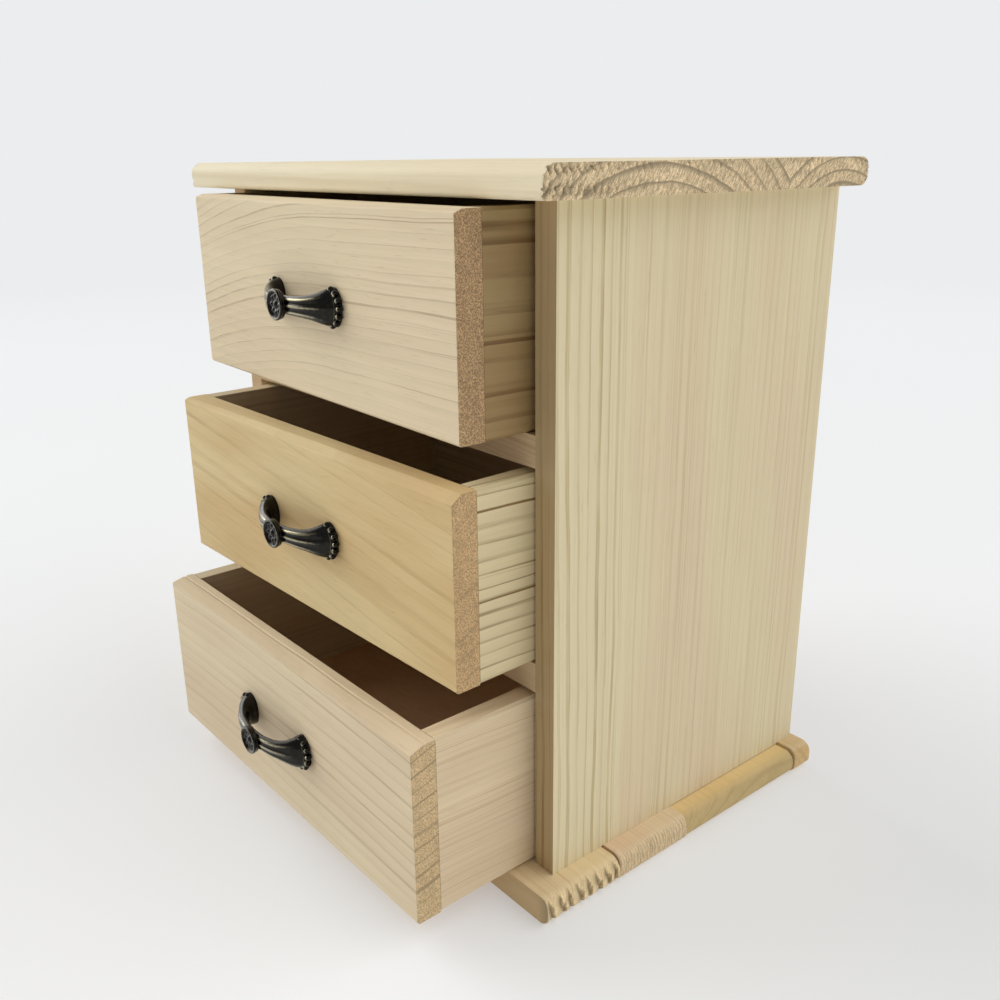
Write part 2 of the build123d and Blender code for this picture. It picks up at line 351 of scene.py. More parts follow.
@dataclass(frozen=True)
class Pine:
    """The finish of one pine board."""

    name: str
    grain: Grain
    stave: Stave = Stave()
    second: Stave | None = None
    seam: float = 0.0
    pale: Colour = rgb(222, 206, 170)
    late: Colour = rgb(186, 160, 116)
    rosy: Colour = rgb(214, 190, 158)
    end: Colour = rgb(170, 132, 96)
    wander: float = 0.8
    uneven: float = 1.3
    thin: float = 0.6
    # where in a year the dark line is full, and where it starts to end
    ripe: Pair = (0.88, 0.93)
    quiet_top: float = 0.0
    fade: Pair | None = None
    # painted shade: a colour multiplied into the faces turned to the front or back, such as a side panel's
    # front edge that lies in the drawers' shade
    edge: Colour | None = None
    rings: float = 0.4
    rasp: float = 1.0
    hatch: float = 0.0
    hatch_turn: float = -1.05
    hatch_scale: tuple[float, float, float] = (0.1, 0.36, 2.1)
    # painted shade: how dark the torn gouges are painted, darker where they are deeper
    torn_shade: float = 0.0
    seed: float = 0.0
    relief_depth: float = 0.12

    def pick(self, sh: Shader, mask: Value | None, read: Callable[[Stave], float]) -> Value | float:
        """Read a number of the stave that a point lies in.

        Args:
            sh: The shader.
            mask: 0 in the first stave and 1 in the second.
            read: Takes the number from a stave.

        Returns:
            The number.
        """
        first = read(self.stave)
        if mask is None or read(self.second) == first:
            return first
        return sh.blend(mask, first, read(self.second))

    def growth(self, sh: Shader, place: Value, mask: Value | None, drift: Value) -> Value:
        """Count the years from the pith to a point.

        Args:
            sh: The shader.
            place: The point's place in the board.
            mask: 0 in the first stave and 1 in the second.
            drift: A slow noise that bends the rings.

        Returns:
            The years.
        """
        x, y, z = (sh.part(place, axis) for axis in range(3))
        ripple = sh.figure(place, RIPPLE) - 0.5
        lean_y = self.pick(sh, mask, lambda stave: stave.lean[0])
        lean_z = self.pick(sh, mask, lambda stave: stave.lean[1])
        bow = self.pick(sh, mask, lambda stave: stave.bow[0])
        bent = sh.math("MINIMUM", x - self.stave.bow[1], 0.0)
        far_y = y - self.pick(sh, mask, lambda stave: stave.pith[0]) + x * lean_y
        far_z = z - self.pick(sh, mask, lambda stave: stave.pith[1]) + x * lean_z + bent * bent * bow
        radius = sh.math("SQRT", far_y * far_y + far_z * far_z)
        pace = self.pick(sh, mask, lambda stave: stave.ring)
        years = (radius + (drift - 0.5) * (self.wander * 5) + ripple * self.wander) / pace
        inputs = {"W": years * 0.45 + self.seed, "Detail": 1.0}
        uneven = sh.node("TexNoise", {"noise_dimensions": "1D"}, inputs)
        return years + (uneven - 0.5) * self.uneven

    def lines(self, sh: Shader, place: Value, normal: Value, dark: Value) -> Value:
        """Let the growth lines come and go on the long faces.

        Args:
            sh: The shader.
            place: The point's place in the board.
            normal: The way that the face looks.
            dark: How dark the line is in a clear place.

        Returns:
            The strength of the line.
        """
        line = dark * sh.marks(place, BANDS, 1.3).down_to(0.3) * sh.marks(place, BREAKS).down_to(0.35)
        if self.fade is not None:
            line = line * sh.rise(sh.part(place, 0), *self.fade).down_to(0.3)
        if self.quiet_top:
            line = line * (1.0 - self.quiet_top * sh.rise(abs(sh.part(normal, 2)), 0.1, 0.8))
        return line

    def sawn(self, sh: Shader, place: Value, ring: Value) -> tuple[Value, Value]:
        """Colour the sawn ends.

        Args:
            sh: The shader.
            place: The point's place in the board.
            ring: How dark the growth line is.

        Returns:
            The colour, and the height of the rasped fibres.
        """
        specks = sh.marks(place, PORES)
        dark = scaled(self.end, 1 - 0.46 * self.rasp)
        bright = scaled(self.end, 1 + 0.34 * self.rasp)
        face = sh.lit(sh.tint(specks, dark, bright), 0.8 + 0.4 * sh.figure(place, BLOTCH))
        if self.hatch:
            turn = {"Vector": place, "Rotation": (self.hatch_turn, 0.0, 0.0)}
            spun = sh.node("Mapping", {"vector_type": "POINT"}, turn)
            strokes = sh.rise(sh.cloud(sh.stretch(spun, self.hatch_scale), 1.0, 1.0), 0.42, 0.58)
            face = sh.lit(face, 1.0 + self.hatch * (0.72 * strokes - 0.34))
            specks = specks * (1.0 - self.hatch * 0.5) + strokes * self.hatch
        return sh.tint(ring, face, scaled(self.end, 0.5)), specks * self.rasp

    def material(self, middle: Vector, askew: float = 0.0) -> bpy.types.Material:
        """Make the material.

        Args:
            middle: The board's middle in the chest, in metres.
            askew: How far the board is turned about Z, in degrees.

        Returns:
            The material.
        """
        sh = Shader.named(self.name)
        place = sh.along_grain(self.grain, middle, askew)
        normal = sh.place("Normal")
        mask = None
        if self.second is not None:
            mask = sh.math("GREATER_THAN", sh.part(place, 1), self.seam)
        drift = sh.figure(place, DRIFT, 1.0 + 0.01 * self.seed)
        years = self.growth(sh, place, mask, drift)
        year = sh.math("FRACT", years)
        autumn = sh.rise(year, self.thin, self.ripe[0]) * (1.0 - sh.rise(year, self.ripe[1], 1.0))
        number = sh.node("CombineXYZ", {}, {0: sh.math("FLOOR", years), 1: self.seed})
        hard = sh.node("TexWhiteNoise", {"noise_dimensions": "2D"}, {"Vector": number})
        strength = self.pick(sh, mask, lambda stave: stave.line)
        line = self.lines(sh, place, normal, autumn * hard.down_to(0.35) * strength)

        fibre = sh.figure(place, FIBRE)
        streak = sh.figure(place, STREAK)
        canal = sh.marks(place, FLECK)
        warm = sh.rise(drift, *DRIFT.levels) * self.pick(sh, mask, lambda stave: stave.blush)
        wood = sh.tint(warm, self.pale, self.rosy)
        wood = sh.tint(sh.rise(year, 0.0, 1.0) * 0.16 * (line + 0.5), wood, self.late)
        wood = sh.tint(line, wood, self.late)
        wood = sh.lit(wood, 0.86 + 0.14 * fibre + 0.14 * streak - 0.1 * canal)
        # Painted shade on the faces turned to the front or back.
        if self.edge is not None:
            wood = sh.tint(sh.rise(abs(sh.part(normal, 1)), 0.6, 0.9), wood, self.edge, "MULTIPLY")

        facing = sh.rise(abs(sh.dot(normal, self.grain.along(askew))), 0.35, 0.8)
        face, rasped = self.sawn(sh, place, autumn * hard.down_to(0.55) * self.rings)
        colour = sh.tint(facing, wood, face)
        # Painted shade in the torn gouges, darker where they are deeper.
        if self.torn_shade:
            deep = sh.node("Attribute", {"attribute_name": "torn_shade"}, {}, "Fac")
            colour = sh.tint(deep * self.torn_shade, colour, scaled(self.end, 0.4))
        height = fibre * 0.3 + streak * 0.3 + line * 0.12 - canal * 0.4
        relief = sh.relief(sh.blend(facing, height, rasped), self.relief_depth)
        rough = sh.blend(facing, 0.6 - 0.12 * line + 0.08 * fibre, 0.86)
        return sh.finish(colour, rough, Normal=relief, IOR=1.42)


@dataclass(frozen=True)
class Veneer:
    """The finish of a thin plywood panel, warm brown and evenly streaked."""

    name: str
    grain: Grain
    face: Colour = rgb(242, 204, 158)
    pore: Colour = rgb(214, 166, 120)
    relief_depth: float = 0.06

    def material(self, middle: Vector, askew: float = 0.0) -> bpy.types.Material:
        """Make the material.

        Args:
            middle: The panel's middle in the chest, in metres.
            askew: How far the panel is turned about Z, in degrees.

        Returns:
            The material.
        """
        sh = Shader.named(self.name)
        place = sh.along_grain(self.grain, middle, askew)
        pores = sh.figure(place, PLY_PORES)
        share = sh.rise(pores, *PLY_PORES.levels) * 0.5 + sh.figure(place, PLY_FIGURE) * 0.5
        colour = sh.tint(share, self.face, self.pore)
        relief = sh.relief(pores, self.relief_depth)
        return sh.finish(colour, 0.62 + 0.2 * pores, Normal=relief, IOR=1.42)


@dataclass(frozen=True)
class Bronze:
    """The finish of the cast handles: near-black bronze, rubbed to brass on what stands proud, with brass
    also painted as highlights on the parts that face the front.
    """

    name: str = "bronze_with_rub_and_sheen"
    dark: Colour = rgb(18, 15, 11)
    olive: Colour = rgb(36, 34, 22)
    # the colour of the rubbed brass, also used for the painted highlights
    brass: Colour = rgb(176, 168, 138)
    patina_scale: float = 900.0
    grit_scale: float = 3500.0
    relief_depth: float = 0.015

    def material(self) -> bpy.types.Material:
        """Make the material.

        Returns:
            The material.
        """
        sh = Shader.named(self.name)
        place = sh.place()
        patina = sh.cloud(place, self.patina_scale, 3.0, 0.6)
        grit = sh.cloud(place, self.grit_scale)
        # Brass where the handle is rubbed, plus painted highlights on the parts that face the front.
        worn_and_sheen = sh.node("Attribute", {"attribute_name": "worn_and_sheen"}, {}, "Fac")
        rubbed_and_sheen = sh.rise(worn_and_sheen + (patina - 0.5) * 0.35, 0.4, 1.0)
        shade = sh.tint(sh.rise(patina, 0.4, 0.75), self.dark, self.olive)
        colour = sh.tint(rubbed_and_sheen, shade, self.brass)
        rough = sh.blend(rubbed_and_sheen, 0.16 + 0.14 * grit, 0.26)
        relief = sh.relief(grit, self.relief_depth)
        return sh.finish(colour, rough, Metallic=1.0, Normal=relief, Coat_Weight=0.4, Coat_Roughness=0.16)


@dataclass(frozen=True)
class Steel:
    """The finish of the brads and screws."""

    name: str = "plain_steel"
    bright: Colour = rgb(170, 168, 162)
    dull: Colour = rgb(108, 102, 94)
    stain_scale: float = 700.0
    relief_depth: float = 0.02

    def material(self) -> bpy.types.Material:
        """Make the material.

        Returns:
            The material.
        """
        sh = Shader.named(self.name)
        place = sh.place()
        stain = sh.cloud(place, self.stain_scale, 3.0, 0.6)
        colour = sh.tint(sh.rise(stain, 0.4, 0.65), self.bright, self.dull)
        relief = sh.relief(sh.figure(place, BRUSHING), self.relief_depth)
        return sh.finish(colour, 0.3 + 0.25 * stain, Metallic=1.0, Normal=relief)


def add(name: str, data: bpy.types.ID) -> bpy.types.Object:
    """Put a mesh, a light or a camera into the scene.

    Args:
        name: The object's name.
        data: What it holds.

    Returns:
        The object, at the origin.
    """
    made = bpy.data.objects.new(name, data)
    bpy.context.scene.collection.objects.link(made)
    return made


def settle(
    name: str, mesh: bmesh.types.BMesh, place: Matrix, finish: bpy.types.Material, smooth: float = 35.0
) -> bpy.types.Object:
    """Turn a bmesh in millimetres into a piece of the chest.

    Args:
        name: The piece's name.
        mesh: The bmesh, which is freed.
        place: Where its own frame lies in the chest, in metres.
        finish: Its material.
        smooth: Edges that turn by less than this, in degrees, are shaded smooth.

    Returns:
        The object, at the origin.
    """
    bmesh.ops.recalc_face_normals(mesh, faces=mesh.faces)
    bmesh.ops.transform(mesh, matrix=place @ Matrix.Scale(MM, 4), verts=mesh.verts)
    data = bpy.data.meshes.new(name)
    mesh.to_mesh(data)
    mesh.free()
    data.polygons.foreach_set("use_smooth", [True] * len(data.polygons))
    data.set_sharp_from_angle(angle=math.radians(smooth))
    data.materials.append(finish)
    log.info("%s: %d faces", name, len(data.polygons))
    return add(name, data)


def dress(node: str, finish: bpy.types.Material) -> None:
    """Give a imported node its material.

    Args:
        node: The node's name.
        finish: The material.
    """
    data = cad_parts[node].data
    data.materials.clear()
    data.materials.append(finish)
    log.info("%s: dressed in %s", node, finish.name)


def middle_of(node: str) -> Vector:
    """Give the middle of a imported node's box, in metres."""
    low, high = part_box(node)
    return (low + high) / 2


def block(node: str) -> tuple[bmesh.types.BMesh, Vector, Vector]:
    """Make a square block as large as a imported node's box.

    Args:
        node: The node's name.

    Returns:
        The bmesh, and its lowest and its highest corner, in millimetres.
    """
    low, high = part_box(node)
    mesh = bmesh.new()
    size = (high - low) / MM
    place = Matrix.Translation((low + high) / 2 / MM) @ Matrix.Diagonal((*size, 1.0))
    bmesh.ops.create_cube(mesh, size=1.0, matrix=place)
    return mesh, low / MM, high / MM


def edges_where(
    mesh: bmesh.types.BMesh, axis: int, test: Callable[[Vector], bool]
) -> list[bmesh.types.BMEdge]:
    """Find the edges along an axis whose middle passes a test.

    Args:
        mesh: The bmesh.
        axis: 0, 1 or 2 for X, Y or Z.
        test: Takes the edge's middle.

    Returns:
        The edges.
    """
    found = []
    for edge in mesh.edges:
        first, last = (vert.co for vert in edge.verts)
        run = last - first
        if abs(run[axis]) > 0.999 * run.length and test((first + last) / 2):
            found.append(edge)
    return found


def edges_of(verts: Sequence[bmesh.types.BMVert]) -> list[bmesh.types.BMEdge]:
    """List the edges at some vertices, each once."""
    return list(dict.fromkeys(edge for vert in verts for edge in vert.link_edges))


def joined_to(start: bmesh.types.BMVert) -> list[bmesh.types.BMVert]:
    """List all vertices that edges join to one.

    Args:
        start: The vertex.

    Returns:
        The vertices, with the first one.
    """
    found = {start: True}
    queue = [start]
    while queue:
        for edge in queue.pop().link_edges:
            for vert in edge.verts:
                if vert not in found:
                    found[vert] = True
                    queue.append(vert)
    return list(found)


def ease(mesh: bmesh.types.BMesh, edges: Sequence[bmesh.types.BMEdge], size: float, steps: int) -> None:
    """Round over the edges that are still there, by a radius in millimetres and a number of faces."""
    left = [edge for edge in edges if edge.is_valid]
    bmesh.ops.bevel(
        mesh, geom=left, offset=size, offset_type="OFFSET", segments=steps, profile=0.5,
        affect="EDGES", material=-1,
    )


def turn_round(
    mesh: bmesh.types.BMesh,
    profile: Sequence[bmesh.types.BMVert | bmesh.types.BMEdge],
    angle: float,
    steps: int,
    whole: bool,
) -> None:
    """Turn a profile about Y by an angle in degrees, and close it where it goes the whole way round."""
    bmesh.ops.spin(
        mesh, geom=profile, cent=(0, 0, 0), axis=(0, 1, 0), angle=math.radians(angle), steps=steps,
        use_merge=whole, use_duplicate=False,
    )


def spaced(low: float, high: float, step: float) -> list[float]:
    """List places from the low end of a stretch to the high one, a step apart."""
    return [low + step * count for count in range(int((high - low) / step) + 1)]


def cut(mesh: bmesh.types.BMesh, axis: int, places: Sequence[float]) -> None:
    """Cut a mesh through across an axis.

    Args:
        mesh: The bmesh.
        axis: 0, 1 or 2 for X, Y or Z.
        places: Where the cuts lie along the axis, in millimetres.
    """
    normal = Vector((0, 0, 0))
    normal[axis] = 1.0
    for place in places:
        geometry = [*mesh.verts, *mesh.edges, *mesh.faces]
        bmesh.ops.bisect_plane(mesh, geom=geometry, dist=1e-5, plane_co=normal * place, plane_no=normal)


@dataclass(frozen=True)
class TopBoard:
    """The top board, rounded at front and back, its sawn ends torn."""

    front_round: float = 4.4
    rear_round: float = 4.0
    under_round: float = 1.2
    tear: float = 1.25
    tear_reach: float = 40.0
    tear_pitch: float = 2.8
    tear_lean: float = 0.55
    # shares of the thickness: where the strokes turn over, and middle, reach and strength of the bands
    tear_turn: float = 0.55
    tear_bands: tuple[tuple[float, float, float], ...] = ((0.26, 0.26, 1.0), (0.84, 0.2, 0.8))
    skin: float = 1.4
    margin: float = 0.5
    net: Pair = (0.62, 0.6)
    node: str = "top_board"
    finish: Pine = Pine(
        "top_pine", Grain.ACROSS, Stave((-29.0, -55.0), 5.15, (0.01, 0.02), 0.3, 0.3),
        second=Stave((62.0, -40.0), 4.2, (0.0, 0.01), 0.3, 0.3), seam=31.0,
        pale=rgb(238, 226, 194), late=rgb(206, 178, 128), rosy=rgb(232, 213, 178), end=rgb(226, 202, 162),
        uneven=0.4, rings=1.3, rasp=0.5, hatch=0.62, torn_shade=1.0, seed=3.0,
    )

    def depth(self, at: Vector, low: Vector, high: Vector) -> float:
        """Say how deep the sawn end is torn at a point.

        Args:
            at: The point, in millimetres.
            low: The board's lowest corner, in millimetres.
            high: Its highest corner, in millimetres.

        Returns:
            The depth, 0 to 1.
        """
        rise = (at.z - low.z) / (high.z - low.z)
        wave = noise.noise(Vector((at.y * 0.35, at.z * 0.6, at.x)))
        lean = -self.tear_lean if rise < self.tear_turn else self.tear_lean
        stroke = math.sin((at.y + lean * (at.z - low.z)) * 2 * math.pi / self.tear_pitch + wave * 3.2)
        front = near(at.y - low.y, self.tear_reach)
        band = max(full * near(abs(rise - centre), reach) for centre, reach, full in self.tear_bands)
        patch = 0.5 + noise.noise(Vector((at.y * 0.09, at.z * 0.3, 7.0)))
        strong = band * front + 0.35 * max(0.0, patch) * (1 - 0.6 * front)
        grit = 0.25 * abs(noise.noise(Vector((at.y * 1.4, at.z * 1.4, 2.0))))
        return min(1.0, max(0.0, stroke) ** 1.4 * strong * 1.3 + grit)

    def build(self) -> bpy.types.Object:
        """Build the board.

        Returns:
            The piece.
        """
        mesh, low, high = block(self.node)
        middle = (low + high) / 2
        front_top = edges_where(mesh, 0, lambda at: at.y < middle.y and at.z > middle.z)
        front_low = edges_where(mesh, 0, lambda at: at.y < middle.y and at.z < middle.z)
        rear = edges_where(mesh, 0, lambda at: at.y > middle.y)
        ease(mesh, front_top, self.front_round, 8)
        ease(mesh, front_low, self.under_round, 3)
        ease(mesh, rear, self.rear_round, 7)
        cut(mesh, 1, spaced(low.y + self.margin, high.y - self.margin, self.net[0]))
        cut(mesh, 2, spaced(low.z + self.margin, high.z - self.margin, self.net[1]))
        cut(mesh, 0, (low.x + self.skin, high.x - self.skin))
        # The depth of each tear, kept as the mask for the painted shade in the gouges.
        layer = mesh.verts.layers.float.new("torn_shade")
        for vert in mesh.verts:
            if abs(vert.co.x - middle.x) > high.x - middle.x - 0.01:
                deep = self.depth(vert.co, low, high)
                vert[layer] = deep
                vert.co.x -= math.copysign(deep * self.tear, vert.co.x)
        piece = settle("top_board_torn_ends", mesh, Matrix.Identity(4), self.finish.material(middle * MM))
        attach(piece, "carcass")
        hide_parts(self.node)
        return piece


@dataclass(frozen=True)
class BaseStrip:
    """One strip of the glued base: how its rounded ends are worked and torn."""

    node: str
    finish: Pine
    notch: float = 0.0
    pitch: float = 4.4
    ripple: float = 0.0
    inset: float = 0.0
    crack: float = 0.0
    lip: float = 0.0
    front_round: float = 0.0
    gap: float = 0.25
    worked: float = 9.0
    long_round: float = 4.0
    end_cut: float = 4.6
    run_out: float = 3.0
    net: float = 0.45
    tooth_lean: float = 0.28
    # the height where the teeth start to fade, and how much higher they are gone
    tooth_top: Pair = (6.0, 4.8)
    ripple_pitch: float = 1.35
    seam_drop: float = 0.9
    torn_reach: float = 6.0
    lip_width: float = 2.6
    crack_width: float = 0.9

    def sink(self, at: Vector, low: Vector, high: Vector) -> float:
        """Say how deep the rounded end is worked at a point.

        Args:
            at: The point, in millimetres.
            low: The strip's lowest corner, in millimetres.
            high: Its highest corner, in millimetres.

        Returns:
            The depth, in millimetres.
        """
        run = at.y - low.y
        wave = noise.noise(Vector((at.y * 0.2, at.z * 0.3, at.x * 0.05)))
        phase = (run + self.tooth_lean * at.z + wave * 1.2) / self.pitch
        crest = phase - math.floor(phase)
        share = near(max(0.0, at.z - self.tooth_top[0]), self.tooth_top[1])
        deep = self.inset + self.notch * crest**2.4 * share
        deep += self.ripple * (0.5 + 0.5 * math.sin(run * 2 * math.pi / self.ripple_pitch + wave * 4))
        edge = min(run, high.y - at.y)
        return deep + self.seam_drop * near(edge, self.gap) * (0.6 + 0.4 * wave)

    def build(self) -> bpy.types.Object:
        """Build the strip.

        Returns:
            The piece.
        """
        mesh, low, high = block(self.node)
        middle = (low + high) / 2
        ease(mesh, edges_where(mesh, 1, lambda at: True), self.long_round, 7)
        if self.front_round:
            rim = edges_where(mesh, 0, lambda at: at.y < middle.y and at.z > middle.z)
            ease(mesh, rim, self.front_round, 4)
        half = (high.x - low.x) / 2
        inwards = (self.end_cut, self.worked, self.worked + self.run_out)
        for side in (-1, 1):
            cut(mesh, 0, [middle.x + side * (half - inward) for inward in inwards])
        cut(mesh, 1, (low.y + self.gap, high.y - self.gap))
        cut(mesh, 1, spaced(low.y + 0.8, high.y - 0.6, self.net))
        # The depth of the worked end, kept as the mask for the painted shade in its notches.
        layer = mesh.verts.layers.float.new("torn_shade")
        for vert in mesh.verts:
            inward = half - abs(vert.co.x - middle.x)
            share = near(inward, self.torn_reach)
            if share > 0.0 and low.z + 0.02 < vert.co.z:
                deep = self.sink(vert.co, low, high) * share
                vert[layer] = min(1.0, deep * 1.6)
                vert.co.x -= math.copysign(deep, vert.co.x)
                vert.co.z -= deep * 0.35 * (vert.co.z > middle.z)
            if vert.co.z > middle.z and inward < self.worked + 0.1:
                ledge = near(vert.co.y - low.y, self.lip_width)
                vert.co.z += self.lip * min(1.0, ledge * 2) - self.inset * 0.5
                vert.co.z -= self.crack * near(high.y - vert.co.y, self.crack_width) ** 0.5
        name = self.node + "_worked"
        piece = settle(name, mesh, Matrix.Identity(4), self.finish.material(middle * MM), 26.0)
        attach(piece, "carcass")
        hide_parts(self.node)
        return piece


@dataclass(frozen=True)
class Base:
    """The base, glued up from four strips of different wood."""

    strips: tuple[BaseStrip, ...] = (
        BaseStrip(
            "base_strip_front",
            Pine(
                "base_front_pine", Grain.ACROSS, Stave((-160.0, 20.0), 4.4, (0.02, 0.0), 0.45, 0.3),
                pale=rgb(238, 215, 170), late=rgb(198, 166, 112), end=rgb(242, 216, 168),
                # edge: painted shade on the strip's front face, which lies under the lower drawer
                edge=(0.74, 0.68, 0.59), rasp=0.3, hatch=0.22, torn_shade=0.9, seed=5.0,
            ),
            notch=1.5, crack=1.6, front_round=1.2,
        ),
        BaseStrip(
            "base_strip_second",
            Pine(
                "base_second_pine", Grain.ACROSS, Stave((90.0, 30.0), 1.7, (0.01, 0.0), 0.4, 0.9),
                pale=rgb(234, 212, 174), late=rgb(208, 176, 136), rosy=rgb(232, 204, 168),
                end=rgb(238, 212, 170), rasp=0.25, hatch=0.25, torn_shade=0.8, seed=6.0,
            ),
            ripple=0.34, notch=0.2, pitch=2.2, lip=0.55, gap=0.3,
        ),
        BaseStrip(
            "base_strip_third",
            Pine(
                "base_third_pine", Grain.ACROSS, Stave((20.0, -60.0), 5.5, (0.0, 0.02), 0.2, 0.4),
                pale=rgb(238, 210, 150), late=rgb(220, 184, 122), rosy=rgb(232, 200, 140),
                end=rgb(240, 210, 150), rasp=0.15, torn_shade=0.6, seed=7.0,
            ),
            ripple=0.04, notch=0.1, pitch=9.0, inset=0.7, crack=0.9,
        ),
        BaseStrip(
            "base_strip_rear",
            Pine(
                "base_rear_pine", Grain.ACROSS, Stave((-60.0, -40.0), 3.0, (0.0, 0.02), 0.35, 0.5),
                pale=rgb(224, 196, 146), late=rgb(196, 158, 106), end=rgb(218, 184, 130),
                rasp=0.25, torn_shade=0.7, seed=8.0,
            ),
            ripple=0.08, notch=0.1, lip=0.45, gap=0.3,
        ),
    )

    def build(self) -> list[bpy.types.Object]:
        """Build the strips."""
        return [strip.build() for strip in self.strips]


@dataclass(frozen=True)
class Carcass:
    """The sides, shelves and back between base and top, and the joinery that holds them."""

    right: Pine = Pine(
        "right_side_pine", Grain.UP, Stave((-112.0, 56.0), 2.8, (0.004, 0.0), 1.0, 0.1),
        second=Stave((160.0, 60.0), 3.2, (-0.012, 0.0), 0.42, 0.9), seam=-36.0,
        pale=rgb(227, 213, 175), late=rgb(180, 158, 108), rosy=rgb(225, 205, 171), end=rgb(186, 152, 108),
        # edge: painted shade on the front edge, which lies in the drawers' shade
        edge=(0.62, 0.52, 0.42), seed=11.0,
    )
    left: Pine = Pine(
        "left_side_pine", Grain.UP, Stave((120.0, 46.0), 4.0, (0.02, 0.0), 0.55, 0.5),
        # edge: painted shade on the front and rear edges
        edge=(0.7, 0.6, 0.5), seed=12.0,
    )
    # painted shade: the shelves are darker and browner than the other boards, standing in for the shade
    # that their fronts lie in between the drawers
    upper_shelf: Pine = Pine(
        "upper_shelf_pine", Grain.ACROSS, Stave((30.0, 60.0), 2.6, (0.02, 0.03), 0.8, 0.6),
        pale=rgb(200, 170, 124), late=rgb(140, 104, 62), seed=13.0,
    )
    lower_shelf: Pine = Pine(
        "lower_shelf_pine", Grain.ACROSS, Stave((-20.0, -52.0), 3.4, (0.03, -0.02), 0.6, 0.6),
        pale=rgb(204, 176, 132), late=rgb(152, 118, 74), seed=14.0,
    )
    back: Veneer = Veneer("back_veneer", Grain.UP, rgb(186, 148, 104), rgb(150, 110, 72))
    dowel: Pine = Pine("dowel_beech", Grain.ACROSS, Stave((0.0, 30.0), 1.2, line=0.3, blush=0.9))

    def build(self) -> None:
        """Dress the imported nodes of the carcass."""
        boards = {
            "right_side_panel": self.right,
            "left_side_panel": self.left,
            "upper_shelf": self.upper_shelf,
            "lower_shelf": self.lower_shelf,
            "back_panel": self.back,
        }
        for node, finish in boards.items():
            dress(node, finish.material(middle_of(node)))
        pegs = self.dowel.material(Vector((0, 0, 0)))
        for node in ("base_dowels", "top_dowels", "shelf_dowels"):
            dress(node, pegs)
        dress("back_brads", STEEL)


